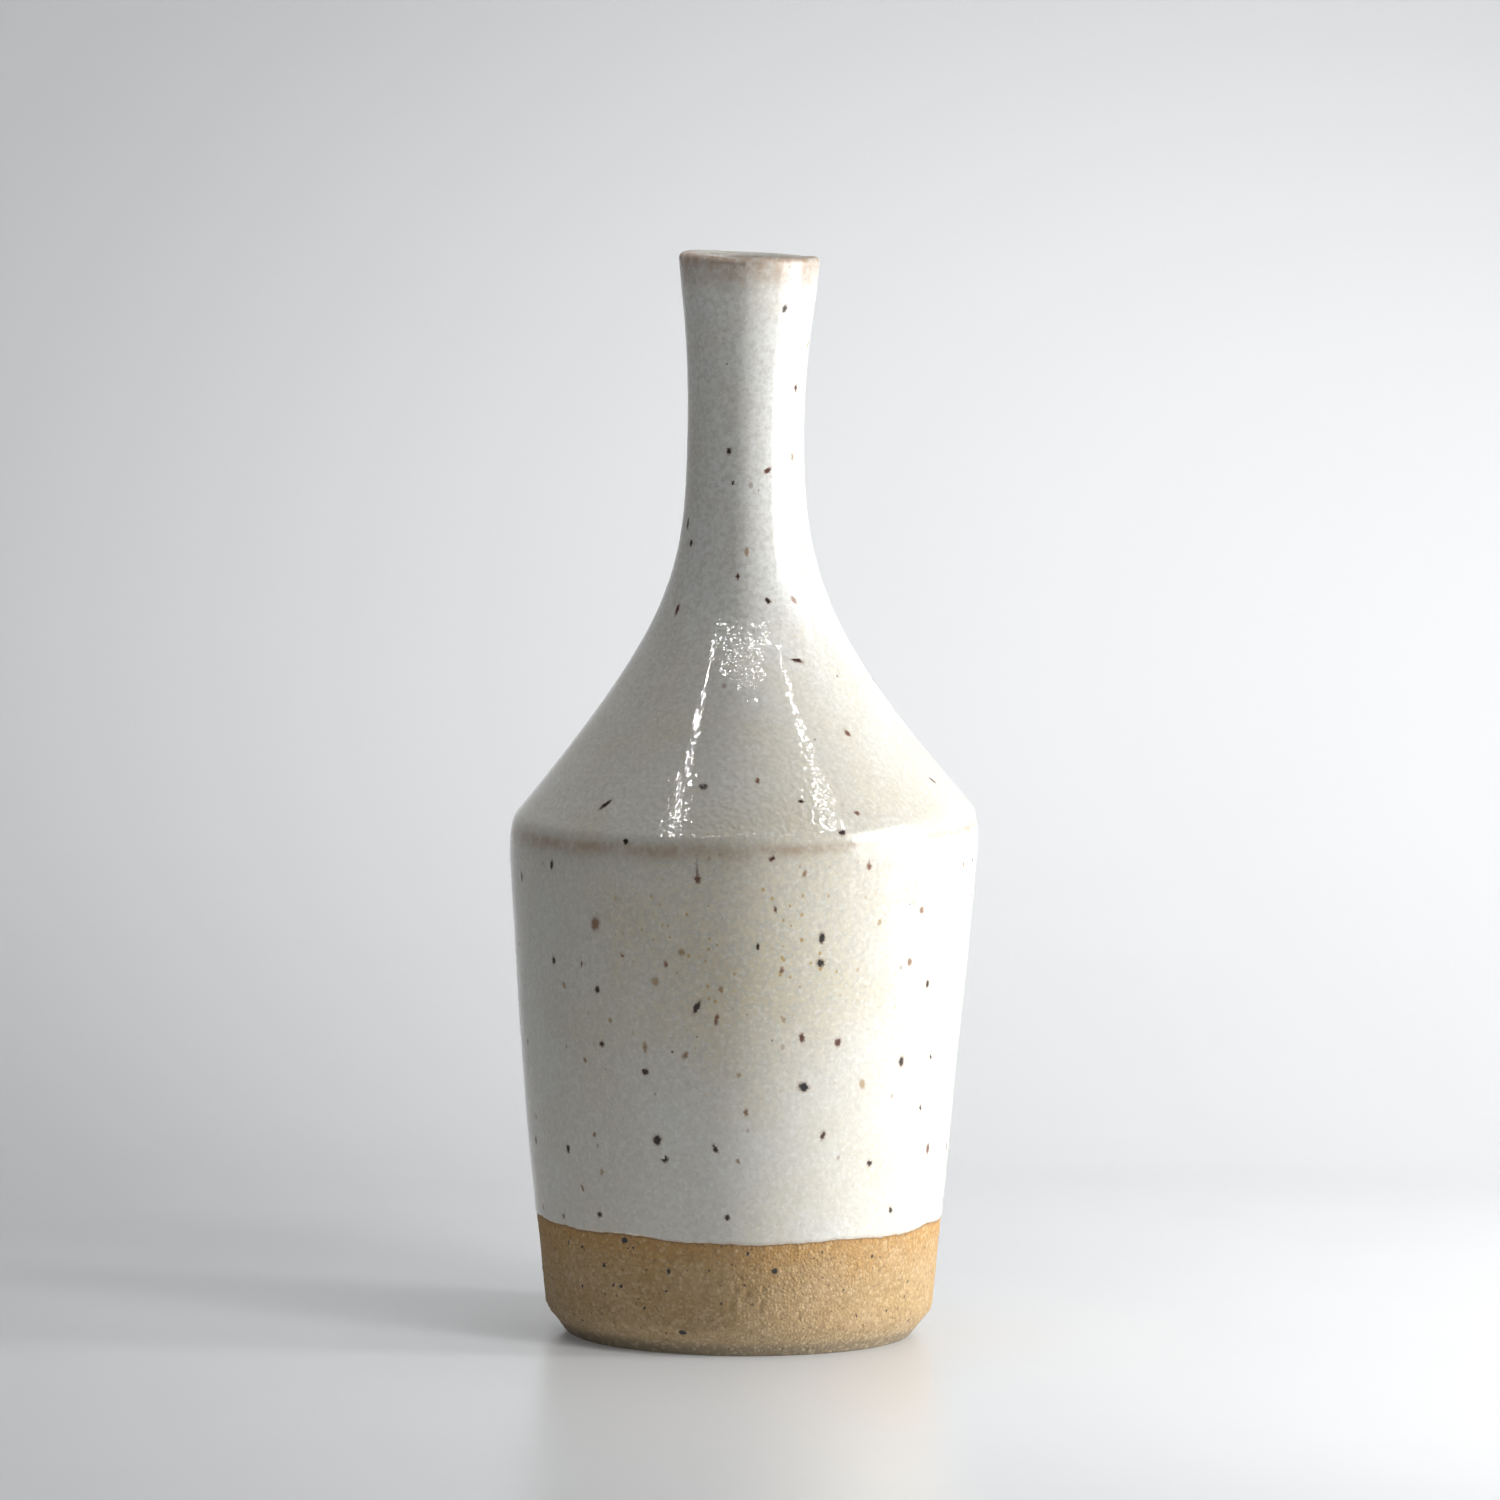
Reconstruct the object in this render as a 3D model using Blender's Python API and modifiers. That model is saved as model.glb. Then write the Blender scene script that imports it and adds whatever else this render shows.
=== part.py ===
"""Wheel-thrown stoneware bottle vase, 200 mm tall.

The vase is one fired clay body under two coats of glass. The outer coat starts inside the mouth, runs
over the lip and stops at the glaze line above the foot. The inner coat lines the hollow up to it.
All three are turned about +Z. The origin is the centre of the ring that the vase stands on.

The outline is drawn once, over the glaze, in the XZ plane: from the middle of the hollow's floor, up
the wall, round the lip and down the outside. The clay lies under it by the thickness of its coat.
"""

import math

import bpy
from mathutils import Vector

MM = 0.001

# The finished outside, over the glaze, from the mouth down.
HEIGHT = 200 * MM
LIP_RADIUS = 12.9 * MM
WAIST_RADIUS = 10.75 * MM
WAIST_Z = 169.5 * MM
SHOULDER_RADIUS = 43.2 * MM  # where the tapering wall ends, just under the shoulder's round
SHOULDER_Z = 89.5 * MM
SHOULDER_TOP_RADIUS = 41.4 * MM
SHOULDER_TOP_Z = 98.4 * MM
GLAZE_LINE_RADIUS = 37.65 * MM
GLAZE_LINE_Z = 22 * MM

# The bare foot.
FOOT_RADIUS = 35.8 * MM
BEVEL_HEIGHT = 5.1 * MM
UNDER_BEVEL_RADIUS = 33.4 * MM  # where the bevel turns further under
UNDER_BEVEL_Z = 2.2 * MM
STANDING_RADIUS = 31.2 * MM
STANDING_RING_WIDTH = 6 * MM
UNDERCUT = 1.2 * MM  # trimmed hollow inside the standing ring

# Wall and floor, with the glaze on both sides.
LIP_WALL = 3.4 * MM
LIP_EDGE = 1.1 * MM  # radius of the lip's two edges
NECK_WALL = 4 * MM
BODY_WALL = 5 * MM
FLOOR_Z = 7.4 * MM
FLOOR_FILLET = 6 * MM

# Glaze.
GLAZE = 0.3 * MM
CLEARANCE = 0.3 * MM  # between a coat and the clay
COATS_MEET_BELOW_RIM = 6 * MM
COATS_GAP = 0.3 * MM

# Lengths of each curve's two handles, and the number of steps along it, going down the outside.
FLARE_HANDLES = (5 * MM, 15 * MM)
NECK_HANDLES = (27.5 * MM, 45 * MM)
SHOULDER_HANDLES = (2.6 * MM, 3 * MM)
FLARE_STEPS = 5
NECK_STEPS = 10
SHOULDER_STEPS = 5
LIP_EDGE_STEPS = 4

# The same, going up inside.
FILLET_HANDLES = (3.3 * MM, 3.3 * MM)
INNER_SHOULDER_HANDLES = (4 * MM, 4 * MM)
INNER_NECK_HANDLES = (40 * MM, 25 * MM)
INNER_STEPS = 4
INNER_NECK_STEPS = 8

SEGMENTS = 40
AXIS_MERGE = 0.00001

# Directions of travel along the outline, in (radius, height).
OUT = Vector((1, 0))
UP = Vector((0, 1))
FLARE = Vector((0.02, 1)).normalized()
UP_WALL = Vector((SHOULDER_RADIUS - GLAZE_LINE_RADIUS, SHOULDER_Z - GLAZE_LINE_Z)).normalized()
UP_SHOULDER = Vector((-0.84, 1)).normalized()


def left_of(direction):
    """A quarter turn to the left: away from the clay, for travel along the outline."""
    return Vector((-direction.y, direction.x))


def curve(start, leaving, end, arriving, pulls, steps):
    """Points of a cubic Bezier from start to end, without its last point.

    leaving and arriving are the directions of travel at its ends, and pulls its two handle lengths.
    """
    near = start + leaving * pulls[0]
    far = end - arriving * pulls[1]
    points = []
    for i in range(steps):
        t = i / steps
        s = 1 - t
        points.append(s**3 * start + 3 * s * s * t * near + 3 * s * t * t * far + t**3 * end)
    return points


def hollow():
    """The outline from the middle of the floor, up inside, to where the lip's round begins."""
    wall = Vector((GLAZE_LINE_RADIUS, GLAZE_LINE_Z)) + left_of(UP_WALL) * BODY_WALL
    wall += UP_WALL * ((FLOOR_Z + FLOOR_FILLET - wall.y) / UP_WALL.y)
    floor_edge = Vector((wall.x - FLOOR_FILLET, FLOOR_Z))
    shoulder = Vector((SHOULDER_RADIUS, SHOULDER_Z)) + left_of(UP_WALL) * BODY_WALL - UP_WALL * BODY_WALL
    shoulder_top = Vector((SHOULDER_TOP_RADIUS, SHOULDER_TOP_Z)) + left_of(UP_SHOULDER) * BODY_WALL
    waist = Vector((WAIST_RADIUS - NECK_WALL, WAIST_Z))
    lip = Vector((LIP_RADIUS - LIP_WALL, HEIGHT - LIP_EDGE))
    return [
        Vector((0, FLOOR_Z)),
        *curve(floor_edge, OUT, wall, UP_WALL, FILLET_HANDLES, INNER_STEPS),
        wall,
        *curve(shoulder, UP_WALL, shoulder_top, UP_SHOULDER, INNER_SHOULDER_HANDLES, INNER_STEPS),
        *curve(shoulder_top, UP_SHOULDER, waist, UP, INNER_NECK_HANDLES, INNER_NECK_STEPS),
        *curve(waist, UP, lip, FLARE, FLARE_HANDLES[::-1], INNER_STEPS),
    ]


def quarter(middle, start):
    """The quarter circle of one of the lip's edges, turning down outwards from the angle start."""
    turns = [start - math.pi / 2 * i / LIP_EDGE_STEPS for i in range(LIP_EDGE_STEPS + 1)]
    return [middle + LIP_EDGE * Vector((math.cos(turn), math.sin(turn))) for turn in turns]


def lip_round():
    """The outline over the lip, from inside the mouth to the outside, without its last point."""
    inner = Vector((LIP_RADIUS - LIP_WALL + LIP_EDGE, HEIGHT - LIP_EDGE))
    outer = Vector((LIP_RADIUS - LIP_EDGE, HEIGHT - LIP_EDGE))
    return quarter(inner, math.pi) + quarter(outer, math.pi / 2)[:-1]


def outside():
    """The outline from the end of the lip's round down to the glaze line."""
    lip = Vector((LIP_RADIUS, HEIGHT - LIP_EDGE))
    waist = Vector((WAIST_RADIUS, WAIST_Z))
    shoulder_top = Vector((SHOULDER_TOP_RADIUS, SHOULDER_TOP_Z))
    shoulder = Vector((SHOULDER_RADIUS, SHOULDER_Z))
    return [
        *curve(lip, -FLARE, waist, -UP, FLARE_HANDLES, FLARE_STEPS),
        *curve(waist, -UP, shoulder_top, -UP_SHOULDER, NECK_HANDLES, NECK_STEPS),
        *curve(shoulder_top, -UP_SHOULDER, shoulder, -UP_WALL, SHOULDER_HANDLES, SHOULDER_STEPS),
        shoulder,
        Vector((GLAZE_LINE_RADIUS, GLAZE_LINE_Z)),
    ]


def foot():
    """The outline of the bare foot and the underside, in to the axis."""
    ring_inside = STANDING_RADIUS - STANDING_RING_WIDTH
    return [
        Vector((FOOT_RADIUS, BEVEL_HEIGHT)),
        Vector((UNDER_BEVEL_RADIUS, UNDER_BEVEL_Z)),
        Vector((STANDING_RADIUS, 0)),
        Vector((ring_inside, 0)),
        Vector((ring_inside - UNDERCUT, UNDERCUT)),
        Vector((0, UNDERCUT)),
    ]


def offset(outline, distance):
    """The outline moved off the clay by distance, each stretch parallel to the one it came from."""
    sides = [left_of((after - before).normalized()) for before, after in zip(outline, outline[1:])]
    moved = []
    for point, side, next_side in zip(outline, sides[:1] + sides, sides + sides[-1:]):
        mitre = (side + next_side) / (1 + side.dot(next_side))
        moved.append(point + mitre * distance)
    return moved


def split_at(outline, z):
    """The two parts of a rising outline that meet at height z."""
    first = next(i for i, point in enumerate(outline) if point.y > z)
    below = outline[first - 1]
    above = outline[first]
    cut = below.lerp(above, (z - below.y) / (above.y - below.y))
    return outline[:first] + [cut], [cut] + outline[first:]


def coat(clay):
    """The outline of a coat of glaze over this stretch of the clay's outline, out and back."""
    return offset(clay, CLEARANCE + GLAZE) + offset(clay, CLEARANCE)[::-1]


def turned(name, outline, closed, material, collection):
    """An object made by turning an outline about +Z. An outline that isn't closed ends on the axis."""
    count = len(outline)
    edges = [(i, (i + 1) % count) for i in range(count if closed else count - 1)]
    mesh = bpy.data.meshes.new(name)
    mesh.from_pydata([(point.x, 0, point.y) for point in outline], edges, [])
    mesh.materials.append(material)
    obj = bpy.data.objects.new(name, mesh)
    collection.objects.link(obj)
    screw = obj.modifiers.new("Turn", "SCREW")
    screw.axis = "Z"
    screw.angle = math.tau
    screw.steps = SEGMENTS
    screw.render_steps = SEGMENTS
    screw.use_merge_vertices = True
    screw.merge_threshold = AXIS_MERGE
    screw.use_smooth_shade = True
    return obj


def ceramic(name, colour, roughness):
    """A plain non-metallic material."""
    material = bpy.data.materials.new(name)
    material.use_nodes = True
    shader = material.node_tree.nodes["Principled BSDF"]
    shader.inputs["Base Color"].default_value = (*colour, 1)
    shader.inputs["Roughness"].default_value = roughness
    shader.inputs["Metallic"].default_value = 0
    return material


def build():
    for obj in list(bpy.data.objects):
        bpy.data.objects.remove(obj)
    collection = bpy.data.collections.new("stoneware_bottle_vase")
    bpy.context.scene.collection.children.link(collection)

    bare_clay = ceramic("buff_stoneware", (0.50, 0.34, 0.18), 0.9)
    white_glaze = ceramic("speckled_white_glaze", (0.80, 0.78, 0.72), 0.2)

    inside = hollow()
    under_glaze = offset(inside + lip_round() + outside(), -CLEARANCE - GLAZE)
    turned("clay_body", under_glaze + foot(), False, bare_clay, collection)

    rising = under_glaze[:len(inside) + 1]
    over_lip = under_glaze[len(inside) + 1:]
    meet_z = HEIGHT - COATS_MEET_BELOW_RIM
    mouth = split_at(rising, meet_z)[1]
    turned("outer_glaze", coat(mouth + over_lip), True, white_glaze, collection)

    lined = split_at(rising, meet_z - COATS_GAP)[0]
    turned("inner_glaze", coat(lined), False, white_glaze, collection)


build()
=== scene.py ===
"""The looks of a wheel-thrown stoneware bottle vase with a speckled white glaze.

Three pieces stand for the three CAD solids: the stoneware itself, the white coat outside and the liner
inside. Each is turned from an outline, moved a little off true as a hand-thrown pot is, and textured.
Outlines and the functions on them are in millimetres; the meshes are made in metres.
"""

import math
import random
from collections import namedtuple

import bpy
import numpy as np
from mathutils import Matrix, Vector, kdtree, noise


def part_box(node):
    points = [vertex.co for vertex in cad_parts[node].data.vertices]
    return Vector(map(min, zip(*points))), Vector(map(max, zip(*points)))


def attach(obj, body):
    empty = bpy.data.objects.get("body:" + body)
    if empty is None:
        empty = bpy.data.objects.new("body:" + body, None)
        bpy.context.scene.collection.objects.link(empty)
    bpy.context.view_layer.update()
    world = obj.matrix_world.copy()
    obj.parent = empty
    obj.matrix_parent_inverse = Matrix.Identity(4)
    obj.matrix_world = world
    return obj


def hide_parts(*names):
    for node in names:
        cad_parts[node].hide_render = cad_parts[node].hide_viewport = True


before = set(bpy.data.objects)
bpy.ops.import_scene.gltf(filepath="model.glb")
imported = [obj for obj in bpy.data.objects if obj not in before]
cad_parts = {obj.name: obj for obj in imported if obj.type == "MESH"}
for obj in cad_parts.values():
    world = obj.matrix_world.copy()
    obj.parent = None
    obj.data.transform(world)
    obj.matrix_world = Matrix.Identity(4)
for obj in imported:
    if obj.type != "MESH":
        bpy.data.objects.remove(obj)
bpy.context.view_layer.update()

MM = 0.001

# From the CAD: the height, the shoulder's radius, the glaze line and the inside of the floor.
coat_low, coat_high = (np.array(corner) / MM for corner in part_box("outer_glaze"))
liner_low, liner_high = (np.array(corner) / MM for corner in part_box("inner_glaze"))
HEIGHT = coat_high[2]
WIDEST = coat_high[0]
GLAZE_LINE = coat_low[2]
FLOOR = liner_low[2]
MEETING = liner_high[2]  # where the liner gives way to the outer coat, inside the mouth

# The outside, in (radius, height).
LIP_EDGE = 0.95  # radius of the lip's two edges
LIP = np.array((12.9, HEIGHT - LIP_EDGE))
WAIST = np.array((10.75, 169.5))
SHOULDER_TOP = np.array((41.95, 97.75))
SHOULDER = np.array((WIDEST - 0.1, 89.5))
WALL_END = np.array((37.65, GLAZE_LINE))
BEVEL_TOP = np.array((35.85, 5.2))
BEVEL_END = np.array((33.4, 2.2))
BEVEL_BEND = BEVEL_TOP + (0.1, 1.5)  # where the wall begins to turn into the bevel
STANDING_RADIUS = 31.2
STANDING_RING = 6.0
UNDERCUT = 1.2
LIP_WALL = 3.2
NECK_WALL = 4.0
BODY_WALL = 5.0
COAT = 0.2  # thickness of the glaze
HAIR = 0.03  # between the glaze and the clay, so that their meshes stay apart

FRONT = -90.0  # degrees about +Z at which the vase faces the camera
BODY = 30.0  # the body is wider than this, and the neck narrower
BREAK = 94.9  # height of the line under the shoulder's edge where the glaze is thin


# -------- outlines

def bezier(start, near, far, end, count=60):
    """Points of a cubic Bezier, with the last one left out."""
    t = np.linspace(0, 1, count, endpoint=False)[:, None]
    s = 1 - t
    return s**3 * start + 3 * s * s * t * near + 3 * s * t * t * far + t**3 * end


def arc(centre, radius, first, last, count):
    """Points of an arc between two angles in degrees, with both ends."""
    turn = np.radians(np.linspace(first, last, count))[:, None]
    return np.array(centre) + radius * np.hstack((np.cos(turn), np.sin(turn)))


def fresh_rows(line, spacing):
    """The line again, with points apart by spacing, which is a length or a function of a point."""
    steps = np.linalg.norm(np.diff(line, axis=0), axis=1)
    apart = np.array([spacing(p) if callable(spacing) else spacing for p in line])
    count_so_far = np.concatenate(([0], np.cumsum(steps * 2 / (apart[1:] + apart[:-1]))))
    rows = max(2, round(count_so_far[-1]))
    at = np.linspace(0, count_so_far[-1], rows + 1)
    return np.column_stack([np.interp(at, count_so_far, line[:, k]) for k in (0, 1)])


def sides_of(line):
    """The unit normal at each point, to the left of the line's travel: away from the clay."""
    along = np.gradient(line, axis=0)
    left = np.column_stack((-along[:, 1], along[:, 0]))
    return left / np.linalg.norm(left, axis=1)[:, None]


def outside():
    """The finished outside, from the lip's side down to the glaze line."""
    slope = np.array((0.84, -1.0)) / math.hypot(0.84, 1)
    taper = (WALL_END - SHOULDER) / np.linalg.norm(WALL_END - SHOULDER)
    belly = (SHOULDER + WALL_END) / 2 + np.array((0.35, 0))
    bulge = (0.12, 0)
    return np.vstack((
        bezier(LIP, LIP - (0.1, 5), WAIST + (0, 15), WAIST),
        bezier(WAIST, WAIST - (0, 27.5), SHOULDER_TOP - 45 * slope, SHOULDER_TOP, 160),
        bezier(SHOULDER_TOP, SHOULDER_TOP + 1.9 * slope, SHOULDER - 2.8 * taper, SHOULDER),
        bezier(SHOULDER, (SHOULDER + belly) / 2 + bulge, (WALL_END + belly) / 2 + bulge, WALL_END),
        WALL_END[None],
    ))


def hollow():
    """The finished inside, from the edge of the floor up to the lip's round."""
    wall_foot = np.array((WALL_END[0] - BODY_WALL - 0.7, FLOOR + 6.3))
    shoulder = SHOULDER - (BODY_WALL + 0.3, 5)
    shoulder_top = SHOULDER_TOP - (4.0, 3.2)
    waist = WAIST - (NECK_WALL, 0)
    mouth = LIP - (LIP_WALL, 0)
    slope = np.array((-0.64, 0.77))
    return np.vstack((
        bezier(wall_foot - (6, 6), wall_foot - (2.7, 6), wall_foot - (0, 2.7), wall_foot, 12),
        bezier(wall_foot, wall_foot + (2, 25), shoulder - (2, 25), shoulder, 20),
        bezier(shoulder, shoulder + (0.3, 4), shoulder_top - 4 * slope, shoulder_top, 14),
        bezier(shoulder_top, shoulder_top + 40 * slope, waist - (0, 25), waist, 60),
        bezier(waist, waist + (0, 15), mouth - (0.1, 5), mouth, 30),
    ))


def lip_round():
    """Over the lip, a little crowned, from inside the mouth to the outside."""
    inner = arc(LIP - (LIP_WALL - LIP_EDGE, 0), LIP_EDGE, 180, 96, 10)
    outer = arc(LIP - (LIP_EDGE, 0), LIP_EDGE, 84, 0, 10)
    crown = bezier(inner[-1], inner[-1] + (0.4, 0.04), outer[0] + (-0.4, 0.04), outer[0], 6)
    return np.vstack((inner[:-1], crown, outer))


# -------- the hand of the potter

def bell(value, centre, width):
    """1 at the centre, falling smoothly to 0 some two widths away."""
    return np.exp(-(((value - centre) / width) ** 2))


def half_turn(degrees):
    """The same angle, from -180 to 180."""
    return (degrees + 180) % 360 - 180


def shoulder_tilt(x, y, z):
    """How far the shoulder stands above its mean height, as it leans up to one side."""
    return bell(z, 94, 26) * (1.2 * x + 0.7 * y) / WIDEST


def off_true(points):
    """Points moved as one hand-thrown pot is off true. Takes and gives an array of positions."""
    x, y, z = points.T
    turn = np.arctan2(y, x)
    radius = np.hypot(x, y)
    oval = 0.0022 * np.cos(2 * turn + 0.6) * np.clip(z / 60, 0, 1)
    three_sided = 0.0012 * np.cos(3 * turn)
    swell = 1 + oval + three_sided
    bend = -0.45 * bell(z, 45, 28) - 0.4 * bell(z, 165, 22)
    lip_tilt = -0.4 * x / LIP[0]
    lip_wave = lip_tilt + 0.12 * np.cos(2 * turn + 1.0) + 0.07 * np.cos(5 * turn)
    lip_wave *= bell(z, HEIGHT, 12) * np.clip(radius / 8, 0, 1)
    return np.column_stack((x * swell + bend, y * swell, z + shoulder_tilt(x, y, z) + lip_wave))


def waver(turns, size, count, seed):
    """A smooth closed curve of random height round the axis: its value at each turn, in radians."""
    draw = random.Random(seed)
    total = np.zeros_like(turns)
    for k in range(1, count + 1):
        total += draw.gauss(0, 1) / k**0.7 * np.cos(k * turns + draw.uniform(0, math.tau))
    return total * size / max(1e-9, np.abs(total).max())


def field(points, size, seed):
    """Smooth noise of that size over an array of positions, from about -1 to 1."""
    shift = Vector((seed * 17.3, seed * 5.1, seed * 11.7))
    return np.array([noise.noise(Vector(p) / size + shift) for p in points])


# -------- meshes from rings

def ring(radius, height, count):
    """One ring of positions about +Z. On the axis it is a single position."""
    if radius < 1e-6:
        return np.array(((0.0, 0.0, height),))
    turn = np.arange(count) * math.tau / count
    heights = np.broadcast_to(height, count)
    return np.column_stack((radius * np.cos(turn), radius * np.sin(turn), heights))


def faces_between(first, a, second, b):
    """Faces from a ring of a vertices to the next of b, which has as many, twice, half or just one."""
    if a == b:
        return [(first + j, second + j, second + (j + 1) % b, first + (j + 1) % a) for j in range(a)]
    if a == 1:
        return [(first, second + j, second + (j + 1) % b) for j in range(b)]
    if b == 1:
        return [(first + j, second, first + (j + 1) % a) for j in range(a)]
    made = []
    for j in range(min(a, b)):
        after = (j + 1) % min(a, b)
        start = 2 * j
        middle = start + 1
        end = (start + 2) % max(a, b)
        if b == 2 * a:
            made.append((first + j, second + start, second + middle))
            made.append((first + j, second + middle, first + after))
            made.append((first + after, second + middle, second + end))
        else:
            made.append((second + j, first + middle, first + start))
            made.append((second + j, second + after, first + middle))
            made.append((second + after, first + end, first + middle))
    return made


def turned_mesh(name, rings, closed, material):
    """A smooth mesh through rings that follow an outline: up inside, over the lip and down outside."""
    starts = np.cumsum([0] + [len(r) for r in rings])
    faces = []
    for i in range(len(rings) if closed else len(rings) - 1):
        n = (i + 1) % len(rings)
        faces += faces_between(int(starts[i]), len(rings[i]), int(starts[n]), len(rings[n]))
    mesh = bpy.data.meshes.new(name)
    mesh.from_pydata((np.vstack(rings) * MM).tolist(), [], faces)
    mesh.shade_smooth()
    mesh.materials.append(material)
    obj = bpy.data.objects.new(name, mesh)
    bpy.context.scene.collection.objects.link(obj)
    return obj


def paint(obj, name, values):
    """Keeps one number, or three, for each vertex under a name that a material can read."""
    values = np.asarray(values, np.float32)
    kind, field_name = ("FLOAT", "value") if values.ndim == 1 else ("FLOAT_VECTOR", "vector")
    layer = obj.data.attributes.new(name, kind, "POINT")
    layer.data.foreach_set(field_name, values.ravel())


def positions(obj):
    """Every vertex, in millimetres."""
    values = np.empty(len(obj.data.vertices) * 3, np.float32)
    obj.data.vertices.foreach_get("co", values)
    return values.reshape(-1, 3).astype(float) / MM


def place_vertices(obj, points):
    """Moves the vertices to these positions, in millimetres."""
    obj.data.vertices.foreach_set("co", (points * MM).astype(np.float32).ravel())
    obj.data.update()


def normals(obj):
    """The unit normal at every vertex."""
    values = np.empty(len(obj.data.vertices) * 3, np.float32)
    obj.data.vertex_normals.foreach_get("vector", values)
    return values.reshape(-1, 3).astype(float)


def push_out(obj, heights):
    """Moves each vertex along its normal by a height in millimetres."""
    place_vertices(obj, positions(obj) + normals(obj) * heights[:, None])


# -------- specks

# turn: degrees from the front, to the right; height, width, length, tail: mm; lean: degrees to the
# right; iron: 0 for a pale ochre stain, 0.5 for rust, 1 for black. Few have a tail or a lean.
Speck = namedtuple("Speck", "turn height width length iron tail lean", defaults=(0, 0))

SPECKED_FRONT = 80.0  # degrees to either side of the front that the specks placed by name cover
CLEAR_ABOVE = 3.5  # least distance from one random speck to the next, up or down
CLEAR_BESIDE = 3.6  # and sideways
MM_PER_DEGREE = 0.6  # round the vase, roughly
SMALLEST = 0.28  # radius of a random speck
BIGGEST = 0.75

# The ones that catch the eye on the front.
FRONT_SPECKS = [
    Speck(-41, 101, 0.7, 2.4, 0.85, 0, 38),
    Speck(27, 127.3, 0.9, 2.4, 0.7, 0, -62),
    Speck(16, 137, 0.8, 0.9, 0.85),
    Speck(-12, 105, 1.2, 1.1, 0.95),
    Speck(25, 97, 1.1, 1.0, 0.9),
    Speck(-30, 95, 0.8, 0.9, 0.95),
    Speck(-11, 88.6, 0.9, 1.2, 0.55, 4.6, -4),
    Speck(-39, 78.9, 1.5, 1.9, 0.36, 0, 20),
    Speck(20, 78, 0.9, 1.7, 0.95, 0.8),
    Speck(19.5, 73, 1.2, 1.2, 0.95),
    Speck(-11, 65, 0.8, 2.2, 0.85, 0.8, 28),
    Speck(-6, 63.2, 0.6, 1.7, 0.45, 0, 8),
    Speck(-26, 53, 1.0, 1.0, 0.7, 0.8),
    Speck(-25.5, 57, 0.6, 1.5, 0.2),
    Speck(-38, 57, 0.8, 0.9, 0.65, 0.8),
    Speck(16, 59.5, 0.8, 1.4, 0.6, 0.5),
    Speck(26, 59, 1.0, 1.3, 0.6, 0.8, 10),
    Speck(47, 53.5, 1.0, 1.6, 0.85, 1.0),
    Speck(16.5, 50, 1.6, 1.4, 1.0, 0, 20),
    Speck(33, 50.8, 0.9, 1.4, 0, 0.5, -20),
    Speck(22, 41.5, 0.8, 1.4, 0.7, 0, 8),
    Speck(38, 36, 0.9, 0.9, 0.85, 0.3),
    Speck(-23, 40, 1.3, 1.5, 0.9),
    Speck(-21, 36.3, 1.1, 1.1, 0.85, 0, 30),
    Speck(-7, 38.6, 0.7, 1.4, 0.95, 0, -32),
    Speck(-42, 25, 0.9, 0.9, 1.0),
    Speck(-53, 37, 0.8, 1.2, 0.95, 0.6),
    Speck(-3, 26, 0.8, 0.8, 0.85),
    Speck(33, 191, 0.8, 1.2, 0.95, 0, 15),
    Speck(55, 176, 0.6, 1.0, 0.6),
    Speck(-18, 164, 0.7, 1.0, 0.9, 0.5, 8),
    Speck(20, 161, 0.6, 1.3, 0.6, 0, 50),
    Speck(-66, 151, 0.6, 1.7, 0.9),
    Speck(-56, 147.5, 0.8, 1.0, 0.9),
    Speck(-52, 135, 0.7, 1.8, 0.6),
    Speck(36, 137, 0.8, 1.4, 0.35, 0, -30),
    Speck(40, 114, 0.8, 1.2, 0.5, 0, -20),
    Speck(-55, 72, 0.8, 1.3, 0.95),
    Speck(-71, 86.5, 0.8, 1.4, 0.95),
    Speck(-54, 89.5, 0.7, 1.4, 0.75, 0, 8),
    Speck(-39.5, 67.4, 0.9, 1.1, 0.8, 0.5, 15),
    Speck(-15, 75.4, 0.9, 0.9, 0.15),
    Speck(-19, 73.3, 0.7, 1.0, 0.35),
    Speck(-22, 70, 1.1, 1.2, 0),
    Speck(32, 91, 0.9, 1.0, 0.45, 1.8),
    Speck(7, 92.5, 0.8, 0.8, 0.65, 0.8),
    Speck(50, 82, 0.9, 1.0, 0.35),
    Speck(55, 67.5, 0.8, 1.2, 0.8, 0.5),
    Speck(47, 72, 0.9, 1.0, 0.35),
    Speck(-73, 36.5, 1.0, 1.1, 0.95),
    Speck(63, 37, 0.9, 1.6, 0.5),
    Speck(69, 104, 0.5, 1.4, 0.6, 0, -40),
    Speck(31, 100, 0.7, 0.8, 0.5, 0, -40),
    Speck(4, 106, 0.6, 0.9, 0.45),
    Speck(16, 103, 0.7, 0.7, 0.85),
    Speck(-14, 158.5, 0.5, 0.5, 0.8),
    Speck(0, 145.5, 0.6, 1.2, 0.05),
    Speck(-7, 141.5, 0.4, 1.0, 0.6),
    Speck(76, 183.5, 0.5, 1.2, 0.1),
    Speck(52, 163, 0.5, 1.2, 0.15),
]


def random_specks(count, low, high, seed, taken=(), front_size=0.38):
    """Specks strewn at random between two heights, clear of each other and of those already taken.

    In front, among the specks that are placed by name, none is bigger than front_size.
    """
    draw = random.Random(seed)
    made = []
    while len(made) < count:
        turn = draw.uniform(-180, 180)
        height = draw.uniform(low, high)
        size = min(BIGGEST, SMALLEST + draw.expovariate(6))
        iron = draw.choice((0.0, 0.05, 0.2, 0.3, 0.4, 0.55, 0.85))
        tail = draw.choice((0, 0, 0, 1.2, 2.0)) * size
        width = 2 * size * draw.uniform(0.7, 1)
        length = 2 * size * draw.uniform(0.9, 1.7)
        lean = draw.uniform(-30, 30)
        if abs(turn) < SPECKED_FRONT and size > front_size:
            continue
        level = [s for s in [*taken, *made] if abs(s.height - height) < CLEAR_ABOVE]
        if all(abs(half_turn(s.turn - turn)) * MM_PER_DEGREE > CLEAR_BESIDE for s in level):
            made.append(Speck(turn, height, width, length, iron, tail, lean))
    return made


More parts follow.
